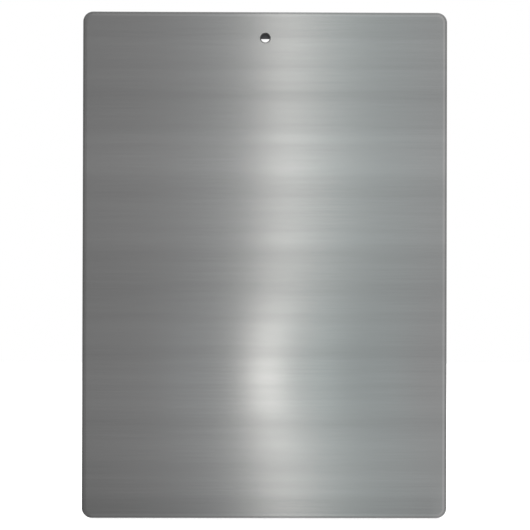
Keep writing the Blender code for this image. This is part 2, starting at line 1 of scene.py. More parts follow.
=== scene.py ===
"""Looks for the clipboard: camera, light, fine meshes and materials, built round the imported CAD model.

Metres, in the CAD's frame: the origin is the centre of the hanging hole in the back face, +Z runs up the
board, the back face looks along +Y and the clip along -Y. "drop" is the distance below the board's top edge,
and "height" is the distance out from the writing face.
"""
import json
import math

import bmesh
import bpy
from mathutils import Matrix, Vector


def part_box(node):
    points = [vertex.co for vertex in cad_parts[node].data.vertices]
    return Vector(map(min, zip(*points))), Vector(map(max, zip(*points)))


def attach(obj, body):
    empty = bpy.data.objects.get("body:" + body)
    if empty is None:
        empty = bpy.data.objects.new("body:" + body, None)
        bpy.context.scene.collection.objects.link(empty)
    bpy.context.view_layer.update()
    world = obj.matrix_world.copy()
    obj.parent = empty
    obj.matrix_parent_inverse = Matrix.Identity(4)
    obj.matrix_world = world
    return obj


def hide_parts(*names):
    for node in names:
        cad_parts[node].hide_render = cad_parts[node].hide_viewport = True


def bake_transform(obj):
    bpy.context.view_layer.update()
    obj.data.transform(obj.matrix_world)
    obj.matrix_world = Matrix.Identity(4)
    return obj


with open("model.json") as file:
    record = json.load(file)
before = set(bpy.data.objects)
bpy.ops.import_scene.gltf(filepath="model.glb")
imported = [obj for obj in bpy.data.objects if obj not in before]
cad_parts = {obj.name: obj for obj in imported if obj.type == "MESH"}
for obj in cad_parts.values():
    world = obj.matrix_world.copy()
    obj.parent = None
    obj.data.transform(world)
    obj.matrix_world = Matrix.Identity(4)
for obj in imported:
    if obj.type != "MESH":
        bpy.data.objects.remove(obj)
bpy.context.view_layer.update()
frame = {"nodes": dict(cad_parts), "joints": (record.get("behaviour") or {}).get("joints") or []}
SIDES = (("left", -1), ("right", 1))

# --- Sizes that the frame gives -----------------------------------------------------------------------------

BACK_LOW, BACK_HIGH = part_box("back_panel")
FRONT_LOW, FRONT_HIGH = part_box("front_panel")
TOP = BACK_HIGH.z
BOTTOM = BACK_LOW.z
BACK = BACK_HIGH.y
FRONT = FRONT_LOW.y
BOARD_HALF = BACK_HIGH.x
BOARD_MIDDLE = (TOP + BOTTOM) / 2

PIVOT = frame["joints"][0]["pos_m"]
HINGE = (TOP - PIVOT[2], FRONT - PIVOT[1])
HINGE_DROP, HINGE_HEIGHT = HINGE

PLATE_LOW, PLATE_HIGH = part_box("clip_base_plate")
PLATE_HALF_WIDTH = PLATE_HIGH.x
PLATE_TOP_DROP = TOP - PLATE_HIGH.z
PLATE_END_DROP = TOP - PLATE_LOW.z
PLATE_GAP = FRONT - PLATE_HIGH.y
EAR_RADIUS = FRONT - PLATE_LOW.y - HINGE_HEIGHT

_, LEVER_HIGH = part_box("clip_lever")
JAW_HALF_WIDTH = LEVER_HIGH.x
TAB_TIP_DROP = TOP - LEVER_HIGH.z

PIN_LOW, PIN_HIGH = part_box("hinge_pin")
PIN_HEAD_RADIUS = (PIN_HIGH.z - PIN_LOW.z) / 2
NUT_LOW, NUT_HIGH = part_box("pin_push_nut")
NUT_RADIUS = (NUT_HIGH.z - NUT_LOW.z) / 2
TUBE_LOW, TUBE_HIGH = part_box("pin_spacer_tube")
TUBE_RADIUS = (TUBE_HIGH.z - TUBE_LOW.z) / 2

RIVET_LOW, RIVET_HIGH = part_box("rivet_right")
RIVET_X = (RIVET_LOW.x + RIVET_HIGH.x) / 2
RIVET_DROP = TOP - (RIVET_LOW.z + RIVET_HIGH.z) / 2
RIVET_HEAD_RADIUS = (RIVET_HIGH.x - RIVET_LOW.x) / 2
RIVET_HEAD_TOP = FRONT - RIVET_LOW.y
RIVET_TAIL_END = FRONT - RIVET_HIGH.y

# --- Sizes of the details -----------------------------------------------------------------------------------

# The board's corners, edge bands and hanging hole.
CORNER_RADIUS = 0.00635
BAND_WIDTH = 0.0022
BACK_BAND_DEPTH = 0.00025
FRONT_BAND_DEPTH = 0.0001
# The band has two facets: they meet this far inside the round-over, at this share of the band's depth.
BAND_BREAK = 0.0009
BAND_BREAK_DEPTH = 0.30
BACK_ROUND = 0.0004
FRONT_ROUND = 0.0003
HOLE_RADIUS = 0.00275
COUNTERSINK_RADIUS = 0.0033
COUNTERSINK_RIM = 0.00008

# The base plate, and the thickness of the steel that it and the lever are pressed from.
SHEET = 0.0010
WINDOW_HALF_WIDTH = 0.0100
WINDOW_TOP_DROP = 0.01665
WINDOW_END_DROP = 0.0232
WINDOW_TOP_CORNER = 0.0006
WINDOW_CORNER = 0.0020
PLATE_CORNER = 0.0050
PLATE_FRONT_CORNER = 0.0020
EAR_FOOT_FLARE = 0.0004
EAR_SETBACK = 0.0001
EAR_HOLE_RADIUS = 0.0016
STOP_OFFSET = 0.0220
STOP_WIDTH = 0.0090
STOP_HEIGHT = 0.0027

# The lever. Its cheeks are set back a hair from the sheet's own edges, to give a clean union with it.
BEND_RADIUS = 0.0045
LIP = (0.0386, 0.0031)
LIP_RADIUS = 0.0013
LIP_CURL_END = math.radians(-170)
TAB_RISE = math.radians(6)
FLARE_RISE = math.radians(18)
FLARE_DROP = 0.0118
KNEE_RADIUS = 0.0100
TAB_HALF_WIDTH = 0.0170
TAB_CORNER = 0.0060
TAB_ROOT_FILLET = 0.0040
TAB_HOLE_DROP = 0.0168
TAB_HOLE_RADIUS = 0.0045
SHOULDER_DROP = 0.0175
SHOULDER_CORNER = 0.0030
CHEEK_GAP = 0.0005
LEVER_HALF_WIDTH = PLATE_HALF_WIDTH + CHEEK_GAP + SHEET
JAW_SPREAD_DROP = 0.0285
JAW_FULL_DROP = 0.0325
JAW_FILLET = 0.0030
CHEEK_RADIUS = 0.0034
CHEEK_SETBACK = 0.00002
CHEEK_HOLE_RADIUS = 0.00165
CHEEK_START_DROP = 0.0210
CHEEK_END_DROP = 0.0335

# The rubber tips.
GRIP_FIT = 0.00015
GRIP_WALL = 0.00085
GRIP_INNER_X = 0.0400
GRIP_LENGTH_UP_JAW = 0.0048
GRIP_SLOT_REACH = 0.0100

# The pin, the push nut, the tube and the springs.
PIN_RADIUS = 0.0015
PIN_HEAD = 0.0010
PIN_TIP_CHAMFER = 0.0004
NUT_BORE_RADIUS = 0.0016
NUT_DISH = 0.0003
NUT_RIM = 0.00015
TUBE_BORE_RADIUS = 0.00175
TUBE_RIM = 0.0001
WIRE_RADIUS = 0.0006
COIL_RADIUS = 0.0025
COIL_FULL_TURNS = 7
COIL_PITCH = 0.0015
COIL_START_X = 0.0260
SPRING_LOW_LEG_DROP = 0.0185
SPRING_HIGH_LEG_DROP = 0.0195
LEG_GAP = 0.0003

# The rivets.
RIVET_RADIUS = 0.00175
RIVET_HOLE_RADIUS = 0.00205
RIVET_HEAD_RISE = 0.0012
RIVET_HEAD_EDGE = 0.0003
RIVET_BORE_RADIUS = 0.0010
RIVET_BORE = 0.0009
RIVET_TAIL_RADIUS = 0.0029
RIVET_TAIL = 0.00035
RIVET_TAIL_ROUND = 0.0001

# How many steps each round takes.
HOLE_STEPS = 64
PIN_HOLE_STEPS = 40
RIVET_HOLE_STEPS = 32
CORNER_STEPS = 16
TRIM_STEPS = 10
ROUND_STEPS = 5
HEAD_ROUND_STEPS = 4
DOME_STEPS = 12
FOOT_STEPS = 32
CAPSULE_STEPS = 24
LIP_STEPS = 20
BEND_STEPS = 12
KNEE_STEPS = 8
TURN_STEPS = 64
COIL_TURN_POINTS = 40
WIRE_SMOOTHNESS = 4
EDGE_SMOOTHNESS = 1

# How far edges are rounded, and what counts as smooth, flat, touching or too short to round.
EDGE_BREAK = 0.00014
EDGE_SEGMENTS = 2
RUBBER_EDGE = 0.00022
SMOOTH_ANGLE = math.radians(32)
FLAT_ANGLE = math.radians(0.3)
WELD = 1e-6
SHORT_EDGE = 5e-5

# How much more a large face's direction counts than a small one's in smooth shading, at the most.
FLAT_FACE_WEIGHT = 100

# How far a cutting solid runs past what it cuts, and how deep one is.
OVERCUT = 0.0020
PRISM_DEPTH = 0.0200

# A face looks along an axis when its normal has more than this along it.
FACING = 0.9

# --- The camera, which looks at the back face ---------------------------------------------------------------

CAMERA_PLACE = (0.0212, 1.5, -0.1552)
CAMERA_YAW = math.radians(0.815)
CAMERA_PITCH = math.radians(0.484)
CAMERA_ROLL = math.radians(0.140)
CAMERA_LENS = 162.44
CAMERA_RANGE = (0.05, 20)
SENSOR = 36.0


def make_camera():
    """A long lens straight behind the board, turned and tilted slightly off its axis."""
    data = bpy.data.cameras.new("camera")
    data.lens = CAMERA_LENS
    data.sensor_width = SENSOR
    data.clip_start, data.clip_end = CAMERA_RANGE
    camera = bpy.data.objects.new("camera", data)
    bpy.context.scene.collection.objects.link(camera)
    level = Matrix.Rotation(math.pi, 4, "Z") @ Matrix.Rotation(math.pi / 2, 4, "X")
    turn = Matrix.Rotation(-CAMERA_YAW, 4, "Z") @ Matrix.Rotation(-CAMERA_PITCH, 4, "X")
    roll = Matrix.Rotation(CAMERA_ROLL, 4, "Z")
    camera.matrix_world = Matrix.Translation(CAMERA_PLACE) @ turn @ level @ roll
    bpy.context.scene.camera = camera


# --- The studio ---------------------------------------------------------------------------------------------

# How bright the reflected room is: the product of a level by a direction's part along +Z and one by its part
# along +X, each given as (part, level) stops.
ROOM_BY_HEIGHT = ((-1.0, 0.80), (-0.45, 0.92), (-0.30, 0.56), (0.0, 0.61), (1.0, 0.80))
ROOM_BY_SIDE = (
    (-0.6, 1.10), (-0.3, 1.40), (-0.15, 1.47), (0.15, 0.53),
    (0.3, 0.84), (0.45, 0.52), (0.62, 0.6), (0.8, 1.2),
)
RAMP_TOP = 2

# Each light: its name, place, size, power and colour. The first four make the upright highlight.
LIGHTS = (
    ("band_light", (-0.047, 1.55, BOARD_MIDDLE), (0.035, 2.0), 0.63, (1, 0.975, 0.93)),
    ("band_shoulder", (-0.087, 1.56, BOARD_MIDDLE), (0.10, 2.0), 0.34, (0.90, 1, 0.96)),
    ("side_glow", (-0.16, 1.57, BOARD_MIDDLE), (0.14, 2.0), 0.18, (0.55, 1, 1)),
    ("other_glow", (0.03, 1.57, BOARD_MIDDLE), (0.10, 2.0), 0.09, (0.8, 0.95, 1)),
    ("overhead", (0, 0.1, 1.6), (2.2, 2.2), 15, (1, 1, 1)),
    ("clip_key", (0.8, -1.5, 0.7), (1.7, 1.7), 8, (1, 1, 1)),
    ("clip_fill", (-1.0, -1.4, 0.1), (1.0, 1.8), 3.5, (1, 1, 1)),
)

FLOOR_GAP = 0.0004
FLOOR_SIZE = 6.0
FLOOR_GREY = 0.8
FLOOR_ROUGHNESS = 0.9
FLOOR_GLOW = 0.55


def add_levels(tree, source, stops):
    """A level that follows its stops. A ramp's colours end at 1, so it holds shares of RAMP_TOP."""
    share = tree.nodes.new("ShaderNodeMapRange")
    share.inputs["From Min"].default_value = -1
    tree.links.new(source, share.inputs["Value"])
    ramp = tree.nodes.new("ShaderNodeValToRGB")
    stop_list = ramp.color_ramp.elements
    while len(stop_list) < len(stops):
        stop_list.new(0.5)
    for element, (part, level) in zip(stop_list, stops):
        element.position = (part + 1) / 2
        grey = level / RAMP_TOP
        element.color = (grey, grey, grey, 1)
    tree.links.new(share.outputs["Result"], ramp.inputs["Fac"])
    return ramp.outputs["Color"]


def make_world():
    """White behind the object, and for it to reflect a dimmer room, brightest on the -X side."""
    world = bpy.data.worlds.new("studio")
    bpy.context.scene.world = world
    world.use_nodes = True
    tree = world.node_tree
    nodes, links = tree.nodes, tree.links
    seen = nodes["Background"]
    seen.inputs["Color"].default_value = (1, 1, 1, 1)
    room = nodes.new("ShaderNodeBackground")
    direction = nodes.new("ShaderNodeTexCoord")
    axes = nodes.new("ShaderNodeSeparateXYZ")
    links.new(direction.outputs["Generated"], axes.inputs["Vector"])
    both = nodes.new("ShaderNodeVectorMath")
    both.operation = "MULTIPLY"
    links.new(add_levels(tree, axes.outputs["Z"], ROOM_BY_HEIGHT), both.inputs[0])
    links.new(add_levels(tree, axes.outputs["X"], ROOM_BY_SIDE), both.inputs[1])
    links.new(both.outputs["Vector"], room.inputs["Color"])
    room.inputs["Strength"].default_value = RAMP_TOP ** 2
    ray = nodes.new("ShaderNodeLightPath")
    mix = nodes.new("ShaderNodeMixShader")
    links.new(ray.outputs["Is Camera Ray"], mix.inputs["Fac"])
    links.new(room.outputs["Background"], mix.inputs[1])
    links.new(seen.outputs["Background"], mix.inputs[2])
    links.new(mix.outputs["Shader"], nodes["World Output"].inputs["Surface"])


def make_light(name, place, size, power, colour):
    """A soft box at a place, facing the middle of the board and hidden from the camera."""
    data = bpy.data.lights.new(name, "AREA")
    data.shape = "RECTANGLE"
    data.size, data.size_y = size
    data.energy = power
    data.color = colour
    light = bpy.data.objects.new(name, data)
    bpy.context.scene.collection.objects.link(light)
    light.location = place
    facing = Vector((0, 0, BOARD_MIDDLE)) - Vector(place)
    light.rotation_euler = facing.to_track_quat("-Z", "Y").to_euler()
    light.visible_camera = False


def make_floor():
    """A plain pale floor just under the board's lower edge."""
    mesh = bpy.data.meshes.new("floor")
    half = FLOOR_SIZE / 2
    corners = [(-half, -half, 0), (half, -half, 0), (half, half, 0), (-half, half, 0)]
    mesh.from_pydata(corners, [], [(0, 1, 2, 3)])
    floor = bpy.data.objects.new("floor", mesh)
    floor.location.z = BOTTOM - FLOOR_GAP
    floor.visible_glossy = False
    bpy.context.scene.collection.objects.link(floor)
    material = bpy.data.materials.new("floor")
    material.use_nodes = True
    shader = material.node_tree.nodes["Principled BSDF"]
    shader.inputs["Base Color"].default_value = (FLOOR_GREY, FLOOR_GREY, FLOOR_GREY, 1)
    shader.inputs["Roughness"].default_value = FLOOR_ROUGHNESS
    shader.inputs["Emission Color"].default_value = (1, 1, 1, 1)
    shader.inputs["Emission Strength"].default_value = FLOOR_GLOW
    mesh.materials.append(material)


# --- Materials ----------------------------------------------------------------------------------------------

# Nearly all of a noise's values lie between these two.
NOISE_LOW = 0.3
NOISE_HIGH = 0.7


class Recipe:
    """A material under construction, with short calls for the nodes that these looks need."""

    def __init__(self, name):
        self.material = bpy.data.materials.new(name)
        self.material.use_nodes = True
        self.tree = self.material.node_tree
        self.shader = self.tree.nodes["Principled BSDF"]
        self.place = self.add("ShaderNodeTexCoord").outputs["Object"]

    def add(self, kind, **settings):
        node = self.tree.nodes.new(kind)
        for key, value in settings.items():
            setattr(node, key, value)
        return node

    def join(self, source, target):
        self.tree.links.new(source, target)

    def drive(self, socket, source):
        self.join(source, self.shader.inputs[socket])

    def set(self, **values):
        """Sets the shader's own sockets, such as Metallic."""
        for key, value in values.items():
            self.shader.inputs[key.replace("_", " ")].default_value = value

    def noise(self, cells, detail, roughness, shift=(0, 0, 0)):
        """A noise from 0 to 1 with this many cells a metre along each axis."""
        mapping = self.add("ShaderNodeMapping")
        mapping.inputs["Scale"].default_value = cells
        mapping.inputs["Location"].default_value = shift
        self.join(self.place, mapping.inputs["Vector"])
        noise = self.add("ShaderNodeTexNoise")
        noise.inputs["Scale"].default_value = 1
        noise.inputs["Detail"].default_value = detail
        noise.inputs["Roughness"].default_value = roughness
        self.join(mapping.outputs["Vector"], noise.inputs["Vector"])
        return noise.outputs["Fac"]

    def remap(self, source, low, high, to_low, to_high):
        node = self.add("ShaderNodeMapRange")
        for socket, value in zip(("From Min", "From Max", "To Min", "To Max"), (low, high, to_low, to_high)):
            node.inputs[socket].default_value = value
        self.join(source, node.inputs["Value"])
        return node.outputs["Result"]

    def between(self, source, low, high):
        """A noise stretched from low to high."""
        return self.remap(source, NOISE_LOW, NOISE_HIGH, low, high)

    def spread(self, source, reach):
        """A noise stretched from -reach to reach."""
        return self.between(source, -reach, reach)

    def math(self, operation, a, b=0.0):
        node = self.add("ShaderNodeMath", operation=operation)
        for socket, value in zip(node.inputs, (a, b)):
            if isinstance(value, (int, float)):
                socket.default_value = value
            else:
                self.join(value, socket)
        return node.outputs["Value"]

    def total(self, *terms):
        result = terms[0]
        for term in terms[1:]:
            result = self.math("ADD", result, term)
        return result

    def axis(self, name):
        node = self.add("ShaderNodeSeparateXYZ")
        self.join(self.place, node.inputs["Vector"])
        return node.outputs[name]

    def hump(self, source, centre, width, strength):
        """strength at a centre, dying away to nothing over a width on each side."""
        away = self.math("DIVIDE", self.math("SUBTRACT", source, centre), width)
        fall = self.math("MULTIPLY", self.math("MULTIPLY", away, away), -1.0)
        return self.math("MULTIPLY", self.math("EXPONENT", fall), strength)

    def tinted(self, colour, factor):
        """The base colour, multiplied by a factor from 0 to 2."""
        node = self.add("ShaderNodeMix", data_type="RGBA")
        node.inputs["A"].default_value = (0, 0, 0, 1)
        node.inputs["B"].default_value = (*(2 * c for c in colour), 1)
        self.join(self.math("MULTIPLY", factor, 0.5), node.inputs["Factor"])
        self.drive("Base Color", node.outputs["Result"])

    def relief(self, height, distance=1.0):
        """A height in metres, or in shares of a distance, felt as bump."""
        node = self.add("ShaderNodeBump")
        node.inputs["Strength"].default_value = 1
        node.inputs["Distance"].default_value = distance
        self.join(height, node.inputs["Height"])
        self.drive("Normal", node.outputs["Normal"])


# The brushed sheets. In every material, cells are the counts in a metre along X, Y and Z.
BRUSH_CELLS = (16, 900, 2400)
BELT_CELLS = (0.4, 22, 68)
BRUSH_GREY = 0.30
# Painted highlight and painted shade: the back's band is a lighter copy of the brushed grey, and its rim a
# darker copy.
BACK_BAND_HIGHLIGHT_GREY = BRUSH_GREY * 1.12
BACK_RIM_SHADE_GREY = BRUSH_GREY * 0.85
# Painted highlight: the front's band and rim get a lighter copy of the brushed grey.
FRONT_BAND_HIGHLIGHT_GREY = BRUSH_GREY * 1.08
BRUSH_ROUGHNESS = 0.25
BELT_ROUGHNESS = 0.012
FINE_CONTRAST = 0.06
BELT_CONTRAST = 0.07
BRUSH_DEPTH = 0.0000004

# The belt's unevenness, and painted shade, at shares of the board's length from its top. A tone is (share,
# half-width, strength). A fade is painted shade that darkens the board towards its bottom: (share, length,
# strength, start, end), with the start and end along X in halves of the board's width. The polish is (share,
# half-width, loss of roughness), the warp (share, half-width, slope).
BACK_TONES = ((0.28, 0.016, 0.10), (0.36, 0.012, 0.02), (0.405, 0.008, 0.05), (0.57, 0.025, -0.055))
# Painted shade: the back grows darker towards its bottom, most on the +X side.
BACK_SHADE_FADES = ((0.92, 0.02, -0.14, -1, -0.9), (0.76, 0.05, -0.10, 0, 0.9))
BACK_POLISH = (0.712, 0.040, 0.060)
BACK_WARP = (0.715, 0.055, 0.0076)
FRONT_TONES = ((0.4, 0.02, 0.03), (0.75, 0.03, -0.03))

# Plating.
SMUDGE_CELLS = (90, 90, 90)
LONG_SCRATCH_CELLS = (40, 2600, 2200)
CROSS_SCRATCH_CELLS = (2400, 900, 60)
CROSS_SCRATCH_SHIFT = (3, 1, 2)
PEEL_CELLS = (700, 700, 700)
PEEL_SHARE = 0.6
SMUDGE_CONTRAST = 0.05
SCRATCH_CONTRAST = 0.03
PLATING_DEPTH = 0.000002

# Spring wire.
DIE_LINE_CELLS = (4200, 4200, 4200)
HEAT_CELLS = (160, 220, 220)
HEAT_CONTRAST = 0.18
DIE_LINE_CONTRAST = 0.08
DIE_LINE_DEPTH = 0.000004
WIRE_ROUGHNESS = (0.26, 0.4)

# Rubber.
GRAIN_CELLS = (2600, 2600, 2600)
DUST_CELLS = (240, 240, 240)
DUST_CONTRAST = 0.35
GRAIN_CONTRAST = 0.2
GRAIN_DEPTH = 0.00003
RUBBER_BLUE = 1.05
RUBBER_ROUGHNESS = (0.55, 0.78)

# The core.
LAYER_CELLS = (60, 5200, 5200)
FLECK_CELLS = (1500, 1500, 1500)
LAYER_CONTRAST = 0.25
FLECK_CONTRAST = 0.3
FLECK_DEPTH = 0.00003
CORE_ROUGHNESS = (0.6, 0.85)


def along_board(share):
    """The height of a place that is this share of the way down the board."""
    return TOP - share * (TOP - BOTTOM)


def brushed_metal(name, grey, tones=(), shade_fades=(), polish=None, warp=None):
    """Metal sheet brushed along X: fine streaks, broad belt bands and, on request, the belt's unevenness and
    painted shade that darkens it towards the board's bottom.
    """
    look = Recipe(name)
    look.set(Metallic=1.0, Anisotropic=1.0)
    across, up = look.axis("X"), look.axis("Z")
    fine = look.noise(BRUSH_CELLS, detail=4, roughness=0.7)
    belt = look.noise(BELT_CELLS, detail=4, roughness=0.42)
    tone = look.total(look.spread(fine, FINE_CONTRAST), look.spread(belt, BELT_CONTRAST), 1.0)
    for share, width, strength in tones:
        tone = look.math("ADD", tone, look.hump(up, along_board(share), width, strength))
    # Painted shade: each fade darkens the colour below a height on the board, over part of its width.
    for share, width, strength, start, end in shade_fades:
        shade_fade = look.remap(up, along_board(share) - width, along_board(share), strength, 0)
        reach = look.remap(across, start * BOARD_HALF, end * BOARD_HALF, 0, 1)
        tone = look.math("ADD", tone, look.math("MULTIPLY", shade_fade, reach))
    look.tinted((grey, grey, grey), tone)
    gloss = look.between(belt, BRUSH_ROUGHNESS + BELT_ROUGHNESS, BRUSH_ROUGHNESS - BELT_ROUGHNESS)
    height = look.math("MULTIPLY", fine, BRUSH_DEPTH)
    if polish:
        share, width, strength = polish
        gloss = look.math("SUBTRACT", gloss, look.hump(up, along_board(share), width, strength))
    if warp:
        share, width, slope = warp
        tilt = look.hump(up, along_board(share), width, slope)
        height = look.math("ADD", height, look.math("MULTIPLY", across, tilt))
    look.drive("Roughness", gloss)
    cross_brush = look.add("ShaderNodeCombineXYZ")
    cross_brush.inputs["Z"].default_value = 1
    look.drive("Tangent", cross_brush.outputs["Vector"])
    look.relief(height)
    return look.material


def plated_metal(name, colour, roughness):
    """Bright plating: handling smudges, hairline scratches in two directions and slight orange peel."""
    look = Recipe(name)
    look.set(Metallic=1.0)
    smudge = look.noise(SMUDGE_CELLS, detail=4, roughness=0.6)
    scratch = look.noise(LONG_SCRATCH_CELLS, detail=2, roughness=0.8)
    cross_scratch = look.noise(CROSS_SCRATCH_CELLS, detail=2, roughness=0.8, shift=CROSS_SCRATCH_SHIFT)
    peel = look.noise(PEEL_CELLS, detail=1, roughness=0.5)
    smudges = look.spread(smudge, SMUDGE_CONTRAST)
    look.tinted(colour, look.total(smudges, look.spread(scratch, SCRATCH_CONTRAST), 1.0))
    dull = look.total(smudges, look.spread(cross_scratch, SCRATCH_CONTRAST), roughness)
    look.drive("Roughness", dull)
    peeled = look.math("MULTIPLY", peel, PEEL_SHARE)
    scratched = look.math("MULTIPLY", scratch, 1 - PEEL_SHARE)
    look.relief(look.total(peeled, scratched), PLATING_DEPTH)
    return look.material


def drawn_wire(name, colour):
    """Spring wire: die lines and a heat tint that varies along the coil."""
    look = Recipe(name)
    look.set(Metallic=1.0)
    lines = look.noise(DIE_LINE_CELLS, detail=2, roughness=0.7)
    heat = look.noise(HEAT_CELLS, detail=3, roughness=0.6)
    tint = look.total(look.spread(heat, HEAT_CONTRAST), look.spread(lines, DIE_LINE_CONTRAST), 1.0)
    look.tinted(colour, tint)
    look.drive("Roughness", look.between(lines, *WIRE_ROUGHNESS))
    look.relief(lines, DIE_LINE_DEPTH)
    return look.material


def moulded_rubber(name, grey):
    """Matt black rubber: a fine moulded grain, and dust in its hollows."""
    look = Recipe(name)
    look.set(Specular_IOR_Level=0.4)
    grain = look.noise(GRAIN_CELLS, detail=3, roughness=0.6)
    dust = look.noise(DUST_CELLS, detail=5, roughness=0.7)
    tint = look.total(look.spread(dust, DUST_CONTRAST), look.spread(grain, GRAIN_CONTRAST), 1.0)
    look.tinted((grey, grey, grey * RUBBER_BLUE), tint)
    look.drive("Roughness", look.between(dust, *RUBBER_ROUGHNESS))
    look.relief(grain, GRAIN_DEPTH)
    return look.material


def pressed_core(name, colour):
    """The board's core, whose cut edge shows pressed layers and flecks."""
    look = Recipe(name)
    look.set(Specular_IOR_Level=0.3)
    layers = look.noise(LAYER_CELLS, detail=3, roughness=0.7)
    flecks = look.noise(FLECK_CELLS, detail=4, roughness=0.75)
    tint = look.total(look.spread(layers, LAYER_CONTRAST), look.spread(flecks, FLECK_CONTRAST), 1.0)
    look.tinted(colour, tint)
    look.drive("Roughness", look.between(flecks, *CORE_ROUGHNESS))
    look.relief(flecks, FLECK_DEPTH)
    return look.material


def make_looks():
    """Every material, by a short name, each made from a colour or a grey. Plating has a roughness too."""
    return {
        "back": brushed_metal("brushed_back", BRUSH_GREY, BACK_TONES, BACK_SHADE_FADES, BACK_POLISH, BACK_WARP),
        # The back's band and rim looks are lighter and darker copies of its brushed look: painted highlight
        # and painted shade.
        "back_band": brushed_metal("brushed_back_band", BACK_BAND_HIGHLIGHT_GREY, BACK_TONES, BACK_SHADE_FADES),
        "back_rim": brushed_metal("brushed_back_rim", BACK_RIM_SHADE_GREY, BACK_TONES, BACK_SHADE_FADES),
        "front": brushed_metal("brushed_front", BRUSH_GREY, FRONT_TONES),
        # Painted highlight: a lighter copy of the brushed look, for the front's band and rim.
        "front_band": brushed_metal("brushed_front_band", FRONT_BAND_HIGHLIGHT_GREY),
        "plate": plated_metal("nickel_plate", (0.55, 0.545, 0.53), 0.20),
        # Painted shade: the hole walls and countersinks are darker than the sheets, standing in for the shade
        # inside the holes.
        "hole_edge": plated_metal("cut_hole_edge", (0.17, 0.17, 0.17), 0.45),
        # Painted shade: a dark copy of the plating for the plate's underside, which shows through the hanging
        # hole.
        "underside": plated_metal("plain_underside", (0.11, 0.11, 0.115), 0.5),
        "lever": plated_metal("bright_nickel", (0.60, 0.595, 0.58), 0.15),
        "rivet": plated_metal("rivet_nickel", (0.56, 0.555, 0.54), 0.24),
        "pin": plated_metal("pin_steel", (0.50, 0.50, 0.50), 0.22),
        "spring": drawn_wire("spring_wire", (0.27, 0.27, 0.28)),
        "rubber": moulded_rubber("grip_rubber_grain", 0.022),
        "core": pressed_core("board_core", (0.035, 0.034, 0.033)),
    }


# --- Points and outlines ------------------------------------------------------------------------------------

def arc(centre, radius, start, end, steps):
    """Points on a circle from one angle to another, both ends included."""
    angles = [start + (end - start) * i / steps for i in range(steps + 1)]
    return [(centre[0] + radius * math.cos(a), centre[1] + radius * math.sin(a)) for a in angles]


def circle(centre, radius, steps=HOLE_STEPS):
    return arc(centre, radius, 0, math.tau, steps)[:-1]


def rounded(corners, steps=CORNER_STEPS):
    """A closed outline from (x, y, radius) corners, each rounded with an arc tangent to its two sides."""
    points = []
    for i, (x, y, radius) in enumerate(corners):
        corner = Vector((x, y))
        before = (Vector(corners[i - 1][:2]) - corner).normalized()
        after = (Vector(corners[(i + 1) % len(corners)][:2]) - corner).normalized()
        half = before.angle(after) / 2
        centre = corner + (before + after).normalized() * radius / math.sin(half)
        reach = radius / math.tan(half)
        first = corner + before * reach - centre
        last = corner + after * reach - centre
        start = math.atan2(first.y, first.x)
        turn = math.remainder(math.atan2(last.y, last.x) - start, math.tau)
        points += arc(centre, radius, start, start + turn, steps)
    return points


def mirrored(corners):
    """Corners of a right half, listed from top to bottom, completed with the left half."""
    return corners + [(-x, y, radius) for x, y, radius in reversed(corners)]


def plan(points):
    """(x, drop, radius) entries turned into plan coordinates."""
    return [(x, -drop, radius) for x, drop, radius in points]


def offset_path(path, distance):
    """An open path moved to its left by a distance, mitred at its points."""
    points = [Vector(p) for p in path]
    moved = []
    for i, point in enumerate(points):
        steps = [points[j + 1] - points[j] for j in (i - 1, i) if 0 <= j < len(points) - 1]
        normals = [Vector((-step.y, step.x)).normalized() for step in steps]
        middle = sum(normals, Vector((0, 0))).normalized()
        moved.append(tuple(point + middle * distance / middle.dot(normals[0])))
    return moved


def tapered_capsule(a, a_radius, b, b_radius):
    """The outline round two circles."""
    along = Vector(b) - Vector(a)
    heading = math.atan2(along.y, along.x)
    lean = math.acos((a_radius - b_radius) / along.length)
    far = arc(b, b_radius, heading - lean, heading + lean, CAPSULE_STEPS)
    near = arc(a, a_radius, heading + lean, heading + math.tau - lean, CAPSULE_STEPS)
    return far + near


def jaw_slope():
    """How steeply the jaw falls: the tangent that touches the bend over the hinge and the rolled lip."""
    across = LIP[0] - HINGE_DROP
    down = HINGE_HEIGHT - LIP[1]
    return math.atan2(down, across) + math.asin((BEND_RADIUS - LIP_RADIUS) / math.hypot(across, down))


def tab_height(drop):
    """The height of the thumb tab's mid-line, before its flared end."""
    start = (HINGE_DROP + BEND_RADIUS * math.sin(TAB_RISE), HINGE_HEIGHT + BEND_RADIUS * math.cos(TAB_RISE))
    return start[1] + (start[0] - drop) * math.tan(TAB_RISE)


def jaw_height(drop):
    """The height of the jaw's mid-line, between the bend and the lip."""
    slope = jaw_slope()
    start = (HINGE_DROP + BEND_RADIUS * math.sin(slope), HINGE_HEIGHT + BEND_RADIUS * math.cos(slope))
    return start[1] - (drop - start[0]) * math.tan(slope)


def lever_midline():
    """From the rolled lip's inner end, up the jaw and over the hinge, to beyond the thumb tab's tip."""
    jaw_normal = math.pi / 2 - jaw_slope()
    lip = arc(LIP, LIP_RADIUS, LIP_CURL_END, jaw_normal, LIP_STEPS)
    bend = arc(HINGE, BEND_RADIUS, jaw_normal, math.pi / 2 - TAB_RISE, BEND_STEPS)
    knee_centre = (
        FLARE_DROP - KNEE_RADIUS * math.sin(TAB_RISE),
        tab_height(FLARE_DROP) + KNEE_RADIUS * math.cos(TAB_RISE),
    )
    knee = arc(knee_centre, KNEE_RADIUS, -math.pi / 2 - TAB_RISE, -math.pi / 2 - FLARE_RISE, KNEE_STEPS)
    end_drop = TAB_TIP_DROP - OVERCUT
    tip = (end_drop, knee[-1][1] + (knee[-1][0] - end_drop) * math.tan(FLARE_RISE))
    return lip + bend + knee + [tip]


# --- Solids -------------------------------------------------------------------------------------------------

def spot(x, drop, height):
    """A place on the clip's side, in the frame."""
    return Vector((x, FRONT - height, TOP - drop))


